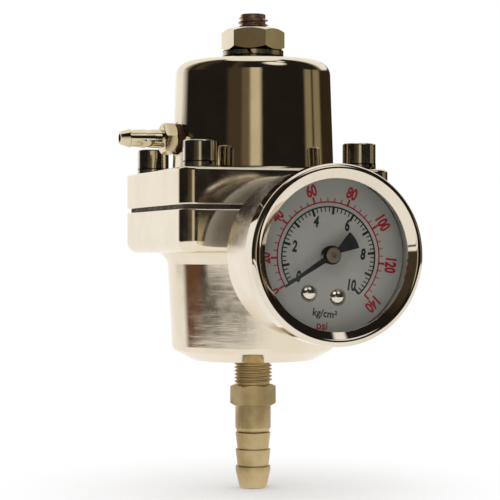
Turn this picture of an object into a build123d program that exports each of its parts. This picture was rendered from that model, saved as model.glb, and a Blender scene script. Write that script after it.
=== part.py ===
from build123d import *
from math import acos, cos, pi, radians, sin, sqrt, tan
import os

# Adjustable fuel pressure regulator with a pressure gauge on its front.
# Millimetres, +Z up. The origin is on the main axis, at the hose stop of the return barb.
# The gauge faces -Y, the vacuum nipple -X, the fuel inlet +X and the bracket holes +Y.

# Fits: radial clearances of pieces that meet in the assembly
running_clearance = 0.05
thread_clearance = 0.02
press_clearance = 0.01
bolt_clearance = 0.3

# Hexagons: share of the width left flat at the ends, and slope of the corner chamfer
hex_face_share = 0.96
hex_chamfer_angle = 30.0

# Return barb: hose tail, hexagon and taper thread
collar_radius = 4.7
collar_length = 5.8
barb_crest_radius = 4.65
barb_root_radius = 4.1
barb_count = 3
barb_pitch = 4.45
barb_lead = 1.4
barb_tip_land = 1.0
barb_tip_taper = 4.6
barb_tip_radius = 3.6
barb_bore_radius = 2.7
barb_hex_width = 10.5
barb_hex_height = 5.6
barb_hex_turn = 44.0
barb_thread_radius = 5.05
barb_thread_showing = 6.6
barb_thread_engaged = 8.0

# Housings
body_height = 28.2
body_foot_radius = 16.0
body_bevel_height = 2.9
body_low_radius = 21.5
body_high_radius = 22.7
body_flare_height = 2.2
body_flare_setback = 3.4
body_foot_round = 1.2
body_bevel_round = 1.8
body_flare_round = 2.0
flange_edge_distance = 6.5
flange_corner_radius = 4.0
lower_flange_thickness = 11.0
upper_flange_thickness = 9.4
flange_edge_round = 0.9
flange_foot_round = 3.0
bonnet_height = 29.1
bonnet_base_radius = 21.4
bonnet_draft = 1.0
bonnet_edge_round = 3.5
bonnet_foot_round = 0.8
chamber_radius = 16.5
chamber_floor_thickness = 10.0
chamber_corner_round = 1.5
spring_room_taper = 0.5
bonnet_roof_thickness = 6.0

# Ports of the lower housing
port_height = 0.4
port_boss_radius = 9.2
port_mouth_chamfer = 0.6
inlet_hole_radius = 4.4
bracket_hole_radius = 2.5
bracket_hole_depth = 8.5
bracket_hole_spacing = 24.0
bracket_hole_rise = 5.9

# Socket-head cap screws and their split washers
screw_offset = 21.5
screw_radius = 2.5
screw_head_radius = 4.25
screw_head_height = 5.2
screw_head_chamfer = 0.45
screw_socket_width = 4.0
screw_socket_depth = 2.6
screw_grip = 8.2
screw_hole_spare = 1.0
split_washer_radius = 4.3
split_washer_thickness = 1.6
split_gap = 0.8
split_angle = 65.0
split_lean = 35.0

# Diaphragm
diaphragm_thickness = 1.0
diaphragm_setback = 1.1
roll_height = 1.9
roll_outer_land = 0.4

# Spring plates, valve and seat
plate_radius = 12.2
plate_thickness = 1.2
plate_rim_height = 2.6
plate_rim_width = 1.0
holder_stem_radius = 2.5
holder_flange_thickness = 1.2
holder_skirt_wall = 1.1
holder_lip_height = 0.5
holder_head_radius = 4.2
holder_head_height = 1.6
holder_round = 0.4
ball_radius = 1.5
ball_stand_off = 0.6
disc_radius = 4.2
disc_thickness = 1.8
disc_face_radius = 3.4
disc_face_height = 0.9
seat_tube_radius = 4.0
seat_bore_radius = 2.0
seat_lip_width = 0.6
seat_lip_height = 0.6
seat_flange_radius = 6.2
seat_flange_thickness = 2.0
seat_flange_round = 0.5
seat_chamfer = 0.8

# Regulator spring and its upper seat
wire_radius = 1.05
spring_rim_clearance = 0.55
spring_coils = 5.0
spring_length = 17.4
spring_end_cut = 0.25
spring_seat_margin = 1.75
spring_seat_thickness = 3.0
spring_pilot_height = 1.8
spring_pilot_clearance = 0.35
spring_seat_round = 0.5
dimple_radius = 3.0
dimple_depth = 0.8

# Adjusting screw, lock nut and washers
stem_radius = 4.0
stem_above_nut = 4.0
stem_point_radius = 2.2
stem_point_height = 1.2
stem_socket_width = 4.0
stem_socket_depth = 4.5
stem_end_chamfer = 0.5
stem_boss_radius = 8.0
stem_boss_length = 12.0
nut_width = 14.6
nut_height = 5.7
nut_turn = 34.0
flat_washer_radius = 8.5
flat_washer_thickness = 1.5
spring_washer_radius = 8.1
spring_washer_thickness = 1.6

# Vacuum nipple
nipple_height = 29.8
nipple_spot_depth = 0.8
nipple_spot_radius = 4.6
nipple_thread_radius = 3.0
nipple_seal_radius = 4.0
nipple_seal_thickness = 1.2
nipple_hex_width = 7.5
nipple_hex_length = 3.5
nipple_hex_turn = 38.7
nipple_collar_radius = 2.4
nipple_collar_length = 2.2
nipple_crest_radius = 2.38
nipple_root_radius = 2.15
nipple_barb_lead = 2.3
nipple_barb_pitch = 4.0
nipple_barb_count = 2
nipple_tip_land = 0.3
nipple_tip_taper = 2.4
nipple_tip_radius = 1.65
nipple_bore_radius = 1.1

# Gauge, along its own axis: distances are measured from the main axis towards the front
gauge_roll = 8.0
case_radius = 20.0
case_wall = 0.8
case_rear_round = 3.0
gasket_thickness = 0.7
gasket_width = 1.5
lens_thickness = 1.6
bezel_wall = 1.3
bezel_lip_thickness = 0.6
bezel_lip_width = 2.15
bezel_bevel_depth = 1.45
bezel_crest_width = 1.55
bezel_grip = 1.4
bezel_corner_round = 1.45
bezel_edge_round = 0.12
bezel_rear_chamfer = 0.5
dial_post_length = 3.5
dial_setback = 3.0
dial_thickness = 0.5
dial_edge_gap = 0.3
dial_hole_radius = 2.0
dial_screw_circle = 10.2
dial_screw_spread = 21.0
dial_screw_head_radius = 1.75
dial_screw_head_height = 1.1
dial_screw_shank_radius = 0.8
dial_screw_reach = 2.4
dial_post_radius = 1.3

# Gauge socket
socket_thread_radius = 4.95
socket_thread_engaged = 9.5
socket_thread_showing = 1.0
socket_thread_chamfer = 0.5
socket_hex_width = 12.0
socket_hex_height = 5.6
socket_neck_radius = 5.0
socket_neck_showing = 1.4
socket_bore_radius = 1.5
socket_passage_radius = 0.7
block_width = 26.0
block_breadth = 10.0
block_thickness = 6.2
block_corner_round = 2.0
lug_inner_wall = 1.7
lug_outer_wall = 2.0
lug_width_angle = 24.0
case_screw_offset = 9.5
case_screw_radius = 1.25
case_screw_head_radius = 2.2
case_screw_head_height = 1.4
case_screw_head_round = 1.0
case_screw_slot_width = 0.65
case_screw_reach = 4.0

# Bourdon tube, its tip and the link
tube_bend_radius = 15.0
tube_breadth = 5.0
tube_thickness = 1.8
tube_wall = 0.3
tube_start_angle = -117.0
tube_sweep = 263.0
tip_width_angle = 7.0
tip_overlap = 0.25
tip_tab_inset = 2.4
tip_tab_breadth = 3.0
tip_tab_thickness = 0.7
tip_pin_play = 0.28
link_width = 2.0
link_thickness = 0.6
link_pin_radius = 0.5
link_gap = 0.1

# Movement: plates, pillars, sector and pinion
movement_plate_thickness = 0.8
movement_plate_width = 16.0
movement_plate_top = 5.0
movement_plate_gap = 0.3
movement_plate_round = 1.0
movement_room = 5.4
pillar_radius = 0.8
pillar_offset = 6.2
pillar_top = 3.0
pillar_gap = 0.4
gear_module = 0.2
dedendum = 1.25 * gear_module
pinion_teeth = 12
sector_gear_teeth = 72
sector_cut_teeth = 12
pressure_angle = 20.0
gear_backlash = 0.04
sector_thickness = 1.0
sector_rim_width = 1.3
sector_hub_radius = 1.8
sector_arm_width = 1.6
sector_level = 2.4
pinion_extra = 0.5
arbor_radius = 0.8
arbor_end_gap = 0.1
shaft_radius = 0.7
tail_length = 3.2
hairspring_inner_radius = 1.6
hairspring_pitch = 0.8
hairspring_turns = 4
hairspring_strip = 0.2
hairspring_breadth = 0.6
collet_radius = 1.4
hairspring_rise = 0.6

# Pointer
pointer_zero_angle = 220.0
pointer_length = 13.8
pointer_tip_width = 0.5
pointer_root_width = 1.5
pointer_thickness = 0.35
pointer_disc_radius = 2.25
pointer_tail_radius = 7.0
pointer_tail_angle = 18.0
pointer_rise = 1.9
hub_radius = 1.9
hub_height = 1.3
hub_round = 0.25

# Radii and widths worked out from the sizes above
flange_side = 2 * (screw_offset + flange_edge_distance)
port_face = flange_side / 2
body_flare_radius = port_face - body_flare_setback
bonnet_top_radius = bonnet_base_radius - bonnet_draft
nipple_face_radius = bonnet_base_radius - nipple_spot_depth
spring_mean_radius = plate_radius - plate_rim_width - spring_rim_clearance - wire_radius
spring_seat_radius = spring_mean_radius + wire_radius + spring_seat_margin
bezel_radius = case_radius + bezel_wall
bezel_crest_radius = bezel_radius - bezel_crest_width
bezel_opening_radius = case_radius - bezel_lip_width
lug_inner_radius = tube_bend_radius - lug_inner_wall
lug_outer_radius = tube_bend_radius + lug_outer_wall
tip_tab_radius = tube_bend_radius - tip_tab_inset
movement_plate_reach = lug_inner_radius - movement_plate_gap

# Levels on the main axis
body_bottom = barb_hex_height + barb_thread_showing
flange_under = body_bottom + body_height
lower_top = flange_under + lower_flange_thickness
upper_under = lower_top + diaphragm_thickness
upper_top = upper_under + upper_flange_thickness
bonnet_top = upper_top + bonnet_height
chamber_floor = body_bottom + chamber_floor_thickness
room_top = bonnet_top - bonnet_roof_thickness
stem_boss_bottom = bonnet_top - stem_boss_length
port_level = flange_under - port_height
nipple_level = flange_under + nipple_height
upper_plate_top = upper_under + plate_thickness
spring_top = upper_plate_top + spring_length
seat_top = spring_top + spring_seat_thickness
washer_top = bonnet_top + flat_washer_thickness + spring_washer_thickness
nut_top = washer_top + nut_height
stem_top = nut_top + stem_above_nut

# Levels on the gauge axis
gauge_back = port_face + socket_thread_showing + socket_hex_height + socket_neck_showing
case_inside = gauge_back + case_wall
block_front = case_inside + block_thickness
back_plate_front = block_front + movement_plate_thickness
front_plate_back = back_plate_front + movement_room
front_plate_front = front_plate_back + movement_plate_thickness
dial_back = front_plate_front + dial_post_length
dial_front = dial_back + dial_thickness
case_front = dial_front + dial_setback
lens_back = case_front + gasket_thickness
lens_front = lens_back + lens_thickness
bezel_opening_level = lens_front + bezel_lip_thickness
bezel_front = bezel_opening_level + bezel_bevel_depth
tube_level = (back_plate_front + front_plate_back) / 2
sector_back = block_front + sector_level
sector_front = sector_back + sector_thickness
pointer_back = dial_front + pointer_rise
shaft_front = pointer_back + hub_height / 2

# Gear sizes
pinion_pitch_radius = gear_module * pinion_teeth / 2
sector_pitch_radius = gear_module * sector_gear_teeth / 2
gear_distance = pinion_pitch_radius + sector_pitch_radius


def turned(points, rounds=None):
    """Solid of revolution about Z. points are (radius, height); rounds gives a corner radius each."""
    corners = [(radius, 0, height) for radius, height in points]
    outline = FilletPolyline(*corners, radius=rounds or [0] * len(corners), close=True)
    return revolve(make_face(outline), Axis.Z)


def rod(radius, low, high, x=0, y=0):
    """Upright cylinder between two levels."""
    return Pos(x, y, low) * extrude(Circle(radius), high - low)


def ring(outer, inner, low, high):
    """Upright tube between two levels."""
    return Pos(0, 0, low) * extrude(Circle(outer) - Circle(inner), high - low)


def hexagon(width, low, high, turn=0):
    """Hexagon bar between two levels, with its corners turned down to a cone at both ends."""
    corner = width / sqrt(3)
    face = hex_face_share * width / 2
    cut = (corner - face) * tan(radians(hex_chamfer_angle))
    bar = Pos(0, 0, low) * extrude(RegularPolygon(corner, 6, rotation=turn), high - low)
    return bar & turned([(0, low), (face, low), (corner, low + cut), (corner, high - cut),
                         (face, high), (0, high)])


def hexagon_socket(width, depth, top, turn=0):
    """Hexagon recess below a level, to be cut from a screw's end."""
    return Pos(0, 0, top - depth) * extrude(RegularPolygon(width / sqrt(3), 6, rotation=turn), depth)


def split_washer(outer, inner, low, high, angle):
    """Spring washer cut through at one place, the cut leaning as on a coiled washer."""
    gap = Rot(0, 0, angle) * Pos((outer + inner) / 2, 0, (low + high) / 2)
    cutter = Rot(split_lean, 0, 0) * Box(outer, split_gap, 4 * (high - low))
    return ring(outer, inner, low, high) - gap * cutter


def gauge_place(piece):
    """Put a piece drawn on the gauge's own axis (Z to the front, Y to the dial's top) in its place."""
    return Pos(0, 0, port_level) * Rot(90, 0, 0) * Rot(0, 0, -gauge_roll) * piece


def polar(radius, angle):
    """Point at a radius and an angle in degrees."""
    return radius * cos(radians(angle)), radius * sin(radians(angle))


def ring_sector(outer, inner, start, stop, low, high):
    """Part of a flat ring between two angles and two levels."""
    section = make_face(Polyline((inner, 0, low), (outer, 0, low), (outer, 0, high),
                                 (inner, 0, high), close=True))
    return Rot(0, 0, start) * revolve(section, Axis.Z, stop - start)


def screw_places():
    """Centres of the four cap screws."""
    return [(x, y) for x in (-screw_offset, screw_offset) for y in (-screw_offset, screw_offset)]


def flange(low, thickness, top_round, foot_round):
    """Square flange with rounded corners and edges."""
    plan = RectangleRounded(flange_side, flange_side, flange_corner_radius)
    slab = Pos(0, 0, low) * extrude(plan, thickness)
    slab = fillet(slab.faces().sort_by(Axis.Z)[-1].edges(), top_round)
    return fillet(slab.faces().sort_by(Axis.Z)[0].edges(), foot_round)


def port_boss(turn):
    """Round boss that carries a side port out to the flange's face."""
    boss = Pos(0, 0, port_level) * Rot(90, 0, 0) * rod(port_boss_radius, body_foot_radius, port_face)
    return Rot(0, 0, turn) * boss


def port_hole(radius, turn):
    """Threaded hole of a side port, from the chamber to the flange's face, with a chamfered mouth."""
    mouth = radius + port_mouth_chamfer
    hole = turned([(0, 0), (radius, 0), (radius, port_face - port_mouth_chamfer),
                   (mouth, port_face), (0, port_face)])
    return Rot(0, 0, turn) * Pos(0, 0, port_level) * Rot(90, 0, 0) * hole


def lower_housing():
    """Fuel chamber: round body with a bevelled foot, flared into the square flange."""
    flare_low = flange_under - body_flare_height
    body = turned(
        [(0, body_bottom), (body_foot_radius, body_bottom),
         (body_low_radius, body_bottom + body_bevel_height), (body_high_radius, flare_low),
         (body_flare_radius, flange_under), (body_flare_radius, lower_top - flange_foot_round),
         (0, lower_top - flange_foot_round)],
        [0, body_foot_round, body_bevel_round, body_flare_round, 0, 0, 0],
    )
    top = flange(flange_under, lower_flange_thickness, flange_edge_round / 2, flange_foot_round)
    chamber = turned(
        [(0, chamber_floor), (chamber_radius, chamber_floor), (chamber_radius, lower_top),
         (0, lower_top)],
        [0, chamber_corner_round, 0, 0],
    )
    seat_hole = rod(seat_tube_radius + press_clearance, body_bottom, chamber_floor)
    barb_hole = rod(barb_thread_radius + thread_clearance, body_bottom,
                    body_bottom + barb_thread_engaged)
    housing = body + top + port_boss(0) + port_boss(90) - chamber - seat_hole - barb_hole
    housing -= port_hole(socket_thread_radius + thread_clearance, 0)
    housing -= port_hole(inlet_hole_radius, 90)
    screw_bottom = lower_top - screw_grip - screw_hole_spare
    for x, y in screw_places():
        housing -= rod(screw_radius + thread_clearance, screw_bottom, lower_top, x, y)
    for x in (-bracket_hole_spacing / 2, bracket_hole_spacing / 2):
        drill = Rot(-90, 0, 0) * rod(bracket_hole_radius, port_face - bracket_hole_depth, port_face)
        housing -= Pos(x, 0, flange_under + bracket_hole_rise) * drill
    return housing


def upper_housing():
    """Bonnet over the spring, with the adjusting screw's threaded boss inside its roof."""
    base = flange(upper_under, upper_flange_thickness, flange_edge_round, flange_edge_round / 2)
    bonnet = turned(
        [(0, upper_under + flange_edge_round), (bonnet_base_radius, upper_under + flange_edge_round),
         (bonnet_base_radius, upper_top), (bonnet_top_radius, bonnet_top), (0, bonnet_top)],
        [0, 0, 0, bonnet_edge_round, 0],
    )
    shell = base + bonnet
    foot = shell.edges().filter_by(GeomType.CIRCLE).filter_by(
        lambda edge: abs(edge.center().Z - upper_top) < flange_edge_round / 4
        and edge.radius > bonnet_base_radius - spring_room_taper)
    shell = fillet(foot, bonnet_foot_round)
    room = turned(
        [(0, upper_under), (chamber_radius, upper_under),
         (chamber_radius - spring_room_taper, room_top), (0, room_top)],
        [0, 0, 2 * chamber_corner_round, 0],
    )
    shell = shell - room + rod(stem_boss_radius, stem_boss_bottom, room_top)
    shell -= rod(stem_radius + running_clearance, stem_boss_bottom, bonnet_top)
    spot = rod(nipple_spot_radius, nipple_face_radius, port_face)
    drill = rod(nipple_thread_radius + thread_clearance, stem_boss_radius, port_face)
    shell -= Pos(0, 0, nipple_level) * Rot(0, -90, 0) * (spot + drill)
    for x, y in screw_places():
        shell -= rod(screw_radius + bolt_clearance, upper_under, upper_top, x, y)
    return shell


def cap_screws():
    """Four socket-head cap screws, driven into the lower flange."""
    head_low = upper_top + split_washer_thickness
    head_top = head_low + screw_head_height
    head = turned(
        [(0, head_low), (screw_head_radius, head_low), (screw_head_radius, head_top), (0, head_top)],
        [0, 0, screw_head_chamfer, 0],
    )
    shank = rod(screw_radius, lower_top - screw_grip, head_low)
    screw = head + shank - hexagon_socket(screw_socket_width, screw_socket_depth, head_top)
    return [Pos(x, y, 0) * screw for x, y in screw_places()]


def cap_screw_washers():
    """Split washers under the four cap screws."""
    washer = split_washer(split_washer_radius, screw_radius + bolt_clearance, upper_top,
                          upper_top + split_washer_thickness, -split_angle)
    return [Pos(x, y, 0) * washer for x, y in screw_places()]


def diaphragm():
    """Square rubber diaphragm, clamped between the flanges, with one rolled fold around the plates."""
    side = flange_side - 2 * diaphragm_setback
    sheet = Pos(0, 0, lower_top) * extrude(
        RectangleRounded(side, side, flange_corner_radius - diaphragm_setback), diaphragm_thickness)
    roll_outer = chamber_radius - roll_outer_land
    roll_inner = plate_radius + roll_outer_land
    middle = (roll_outer + roll_inner) / 2
    low = [(roll_inner, 0, lower_top), (middle, 0, lower_top - roll_height), (roll_outer, 0, lower_top)]
    high = [(x, y, z + diaphragm_thickness) for x, y, z in low]
    fold = make_face(ThreePointArc(*low) + Line(low[2], high[2])
                     + ThreePointArc(*reversed(high)) + Line(high[0], low[0]))
    sheet -= ring(roll_outer, roll_inner, lower_top, upper_under)
    sheet += revolve(fold, Axis.Z)
    sheet -= rod(holder_stem_radius + running_clearance, lower_top, upper_under)
    for x, y in screw_places():
        sheet -= rod(screw_radius + bolt_clearance, lower_top, upper_under, x, y)
    return sheet


def upper_plate():
    """Pressed plate on the diaphragm, with a rim that centres the spring."""
    rim_top = upper_plate_top + plate_rim_height
    rim_inner = plate_radius - plate_rim_width
    bore = holder_stem_radius + press_clearance
    return turned(
        [(bore, upper_under), (plate_radius, upper_under), (plate_radius, rim_top),
         (rim_inner, rim_top), (rim_inner, upper_plate_top), (bore, upper_plate_top)],
        [0, plate_thickness / 2, 0, 0, 0, 0],
    )


def lower_plate():
    """Plain disc under the diaphragm."""
    bore = holder_stem_radius + press_clearance
    return ring(plate_radius, bore, lower_top - plate_thickness, lower_top)


def valve_levels():
    """Levels of the valve parts that hang under the lower plate."""
    flange_low = lower_top - plate_thickness - holder_flange_thickness
    disc_top = flange_low - ball_stand_off
    disc_low = disc_top - disc_thickness
    return flange_low, disc_top, disc_low


def valve_holder():
    """Rivet through plates and diaphragm; its skirt is rolled in under the valve disc."""
    flange_low, disc_top, disc_low = valve_levels()
    flange_top = lower_top - plate_thickness
    inner = disc_radius + bolt_clearance
    skirt = inner + holder_skirt_wall
    lip = disc_face_radius + bolt_clearance
    lip_top = disc_low + disc_face_height - press_clearance
    lip_low = lip_top - holder_lip_height
    head_top = upper_plate_top + holder_head_height
    body = turned(
        [(0, flange_low), (inner, flange_low), (inner, lip_top), (lip, lip_top), (lip, lip_low),
         (skirt, lip_low), (skirt, flange_top), (holder_stem_radius, flange_top),
         (holder_stem_radius, upper_plate_top), (holder_head_radius, upper_plate_top),
         (holder_head_radius, head_top), (0, head_top)],
        [0, 0, 0, 0, 0, holder_round, 0, 0, 0, 0, holder_round, 0],
    )
    return body - Pos(0, 0, disc_top) * Sphere(ball_radius + running_clearance)


def valve_ball():
    """Ball that lets the valve disc align itself with the seat."""
    return Pos(0, 0, valve_levels()[1]) * Sphere(ball_radius)


def valve_disc():
    """Lapped disc that closes the seat, with a socket for the ball in its back."""
    _, disc_top, disc_low = valve_levels()
    step = disc_low + disc_face_height
    disc = turned([(0, disc_low), (disc_face_radius, disc_low), (disc_face_radius, step),
                   (disc_radius, step), (disc_radius, disc_top), (0, disc_top)])
    return disc - Pos(0, 0, disc_top) * Sphere(ball_radius + running_clearance)


def valve_seat():
    """Seat tube pressed into the chamber floor; returned fuel leaves through its bore."""
    top = valve_levels()[2]
    low = body_bottom + barb_thread_engaged
    lip_base = top - seat_lip_height
    lip_outer = seat_bore_radius + seat_lip_width
    flange_top = chamber_floor + seat_flange_thickness
    return turned(
        [(seat_bore_radius, low), (seat_tube_radius, low), (seat_tube_radius, chamber_floor),
         (seat_flange_radius, chamber_floor), (seat_flange_radius, flange_top),
         (seat_tube_radius, flange_top), (seat_tube_radius, lip_base - seat_chamfer),
         (seat_tube_radius - seat_chamfer, lip_base), (lip_outer, lip_base), (lip_outer, top),
         (seat_bore_radius, top)],
        [0, 0, 0, 0, seat_flange_round, seat_flange_round, 0, 0, 0, 0, 0],
    )


def regulator_spring():
    """Compression spring with both ends ground flat."""
    pitch = (spring_length + 2 * spring_end_cut) / spring_coils
    low = upper_plate_top - spring_end_cut
    path = Pos(0, 0, low) * Helix(pitch, pitch * spring_coils, spring_mean_radius)
    section = Plane(origin=path @ 0, z_dir=path % 0) * Circle(wire_radius)
    coil = sweep(section, path)
    span = spring_mean_radius + 2 * wire_radius
    return coil & ring(span, spring_mean_radius - 2 * wire_radius, upper_plate_top, spring_top)


def spring_seat():
    """Disc between spring and adjusting screw, with a pilot inside the spring and a dimple on top."""
    pilot = spring_mean_radius - wire_radius - spring_pilot_clearance
    return turned(
        [(0, spring_top - spring_pilot_height), (pilot, spring_top - spring_pilot_height),
         (pilot, spring_top), (spring_seat_radius, spring_top), (spring_seat_radius, seat_top),
         (dimple_radius, seat_top), (0, seat_top - dimple_depth)],
        [0, spring_seat_round, 0, spring_seat_round, spring_seat_round, 0, 0],
    )


def adjusting_screw():
    """Set screw with a point below, in the seat's dimple, and a hexagon socket in its top end."""
    screw = turned([(0, seat_top - dimple_depth + press_clearance), (stem_point_radius, seat_top),
                    (stem_radius, seat_top + stem_point_height),
                    (stem_radius, stem_top - stem_end_chamfer),
                    (stem_radius - stem_end_chamfer, stem_top), (0, stem_top)])
    return screw - hexagon_socket(stem_socket_width, stem_socket_depth, stem_top, nut_turn)


def lock_nut():
    """Hexagon nut that locks the adjusting screw."""
    bore = stem_radius + running_clearance
    return hexagon(nut_width, washer_top, nut_top, nut_turn) - rod(bore, washer_top, nut_top)


def flat_washer():
    """Plain washer on the bonnet."""
    low = bonnet_top
    return ring(flat_washer_radius, stem_radius + bolt_clearance, low, low + flat_washer_thickness)


def spring_washer():
    """Split washer under the lock nut."""
    return split_washer(spring_washer_radius, stem_radius + bolt_clearance,
                        bonnet_top + flat_washer_thickness, washer_top, split_angle - 180)


def barbed_tail(start, crest, root, pitch, count, land, taper, tip_radius):
    """Half section of a hose tail below a level: saw-tooth barbs, then a tapered tip."""
    points = []
    level = start
    for _ in range(count - 1):
        points += [(crest, level), (root, level - pitch)]
        level -= pitch
    points += [(crest, level), (crest, level - land), (tip_radius, level - land - taper)]
    return points


def return_barb():
    """Brass hose barb: taper thread into the housing, hexagon, collar and barbed tail."""
    first = -collar_length - barb_lead
    tail = barbed_tail(first, barb_crest_radius, barb_root_radius, barb_pitch, barb_count,
                       barb_tip_land, barb_tip_taper, barb_tip_radius)
    bottom = tail[-1][1]
    thread_top = body_bottom + barb_thread_engaged
    shape = turned([(collar_radius, 0), (collar_radius, -collar_length), (barb_root_radius, first)]
                   + tail + [(0, bottom), (0, thread_top), (barb_thread_radius, thread_top),
                             (barb_thread_radius, 0)])
    shape += hexagon(barb_hex_width, 0, barb_hex_height, barb_hex_turn)
    return shape - rod(barb_bore_radius, bottom, thread_top)


def nipple_place(piece):
    """Put a piece drawn along Z, outwards from the main axis, on the nipple's axis."""
    return Pos(0, 0, nipple_level) * Rot(0, -90, 0) * piece


def vacuum_nipple():
    """Small barbed nipple screwed into the bonnet's left side."""
    seal_out = nipple_face_radius + nipple_seal_thickness
    hex_out = seal_out + nipple_hex_length
    collar_out = hex_out + nipple_collar_length
    first = collar_out + nipple_barb_lead
    barbs = barbed_tail(-first, nipple_crest_radius, nipple_root_radius, nipple_barb_pitch,
                        nipple_barb_count, nipple_tip_land, nipple_tip_taper, nipple_tip_radius)
    tail = [(radius, -level) for radius, level in barbs]
    end = tail[-1][1]
    inner = chamber_radius
    shape = turned([(0, inner), (nipple_thread_radius, inner), (nipple_thread_radius, hex_out),
                    (nipple_collar_radius, hex_out), (nipple_collar_radius, collar_out),
                    (nipple_root_radius, first)] + tail + [(0, end)])
    shape += hexagon(nipple_hex_width, seal_out, hex_out, nipple_hex_turn)
    return nipple_place(shape - rod(nipple_bore_radius, inner, end))


def nipple_seal_washer():
    """Red sealing washer between nipple and bonnet."""
    return nipple_place(ring(nipple_seal_radius, nipple_thread_radius + thread_clearance,
                             nipple_face_radius, nipple_face_radius + nipple_seal_thickness))


def dial_screw_places():
    """Places of the two dial screws, in the gauge's own frame."""
    return [polar(dial_screw_circle, -90 + side * dial_screw_spread) for side in (-1, 1)]


def tube_face(inset):
    """Flattened cross section of the Bourdon tube, as a face beside the gauge axis."""
    outline = RectangleRounded(tube_thickness - 2 * inset, tube_breadth - 2 * inset,
                               tube_thickness / 2 - inset - press_clearance)
    return Plane.XZ * Pos(tube_bend_radius, tube_level) * outline


def gauge_socket():
    """Brass socket: thread, hexagon, neck through the case and block that carries the movement."""
    thread_low = port_face - socket_thread_engaged
    hex_low = port_face + socket_thread_showing
    hex_top = hex_low + socket_hex_height
    start = tube_start_angle
    stop = start + lug_width_angle
    thread_tip = socket_thread_radius - socket_thread_chamfer
    turned_part = turned([(0, thread_low), (thread_tip, thread_low),
                          (socket_thread_radius, thread_low + socket_thread_chamfer),
                          (socket_thread_radius, hex_top), (socket_neck_radius, hex_top),
                          (socket_neck_radius, block_front), (0, block_front)])
    block = Pos(0, 0, case_inside) * extrude(
        RectangleRounded(block_width, block_breadth, block_corner_round), block_thickness)
    arm_angle = (start + stop) / 2
    arm_length = (lug_inner_radius + lug_outer_radius) / 2
    arm = Rot(0, 0, arm_angle) * Pos(arm_length / 2, 0, (case_inside + block_front) / 2) * Box(
        arm_length, block_breadth / 2, block_thickness)
    lug = ring_sector(lug_outer_radius, lug_inner_radius, start, stop, case_inside, front_plate_back)
    shape = turned_part + hexagon(socket_hex_width, hex_low, hex_top) + block + arm + lug
    middle = (case_inside + block_front) / 2
    shape -= rod(socket_bore_radius, thread_low, middle)
    shape -= Pos(0, 0, middle) * Rot(0, 0, arm_angle) * Rot(0, 90, 0) * rod(
        socket_passage_radius, 0, tube_bend_radius)
    shape -= rod(socket_passage_radius, middle, tube_level, *polar(tube_bend_radius, arm_angle))
    shape -= Rot(0, 0, start) * revolve(tube_face(tube_wall), Axis.Z, arm_angle - start)
    for x in (-case_screw_offset, case_screw_offset):
        shape -= rod(case_screw_radius + thread_clearance, case_inside,
                     gauge_back + case_screw_reach, x)
    return gauge_place(shape)


def gauge_case():
    """Drawn steel cup with a rounded rear edge."""
    inner = case_radius - case_wall
    cup = turned(
        [(0, gauge_back), (case_radius, gauge_back), (case_radius, case_front), (inner, case_front),
         (inner, case_inside), (0, case_inside)],
        [0, case_rear_round, 0, 0, case_rear_round - case_wall, 0],
    )
    cup -= rod(socket_neck_radius + press_clearance, gauge_back, case_inside)
    for x in (-case_screw_offset, case_screw_offset):
        cup -= rod(case_screw_radius + thread_clearance, gauge_back, case_inside, x)
    return gauge_place(cup)


def case_screws():
    """Two pan-head screws that hold the case to the socket block."""
    head = turned(
        [(0, gauge_back - case_screw_head_height),
         (case_screw_head_radius, gauge_back - case_screw_head_height),
         (case_screw_head_radius, gauge_back), (case_screw_radius, gauge_back),
         (case_screw_radius, gauge_back + case_screw_reach), (0, gauge_back + case_screw_reach)],
        [0, case_screw_head_round, 0, 0, 0, 0],
    )
    slot = Pos(0, 0, gauge_back - case_screw_head_height) * Box(
        2 * case_screw_head_radius, case_screw_slot_width, case_screw_head_height)
    return [gauge_place(Pos(x, 0, 0) * (head - slot)) for x in (-case_screw_offset, case_screw_offset)]


def gauge_bezel():
    """Polished ring crimped over the case; its front is bevelled in towards the lens."""
    inner = case_radius + press_clearance
    rear = case_front - bezel_grip
    return gauge_place(turned(
        [(inner, rear), (bezel_radius - bezel_rear_chamfer, rear),
         (bezel_radius, rear + bezel_rear_chamfer), (bezel_radius, bezel_front),
         (bezel_crest_radius, bezel_front), (bezel_opening_radius, bezel_opening_level),
         (bezel_opening_radius, lens_front), (inner, lens_front)],
        [0, 0, 0, bezel_corner_round, bezel_edge_round, bezel_edge_round, 0, 0],
    ))


def gauge_lens():
    """Flat clear window."""
    return gauge_place(rod(case_radius - press_clearance, lens_back, lens_front))


def lens_gasket():
    """Rubber ring between case and lens."""
    outer = case_radius - press_clearance
    return gauge_place(ring(outer, outer - gasket_width, case_front, lens_back))


def gauge_dial():
    """Printed dial plate, with holes for the pointer shaft and the two dial screws."""
    plate = ring(case_radius - case_wall - dial_edge_gap, dial_hole_radius, dial_back, dial_front)
    for x, y in dial_screw_places():
        plate -= rod(dial_screw_shank_radius + running_clearance, dial_back, dial_front, x, y)
    return gauge_place(plate)


def dial_screws():
    """Two dome-headed screws that hold the dial."""
    rise = dial_screw_head_height
    low = dial_front - dial_screw_reach
    flat = dial_screw_head_radius
    dome_radius = (flat**2 + rise**2) / (2 * rise)
    dome = Pos(0, 0, dial_front + rise - dome_radius) * Sphere(dome_radius)
    head = dome & rod(flat, dial_front, dial_front + rise)
    screw = head + rod(dial_screw_shank_radius, low, dial_front)
    return [gauge_place(Pos(x, y, 0) * screw) for x, y in dial_screw_places()]


def dial_posts():
    """Two posts from the movement's front plate to the back of the dial."""
    hole = dial_screw_shank_radius + thread_clearance
    low = dial_front - dial_screw_reach
    post = rod(dial_post_radius, front_plate_front, dial_back) - rod(hole, low, dial_back)
    return [gauge_place(Pos(x, y, 0) * post) for x, y in dial_screw_places()]


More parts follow.
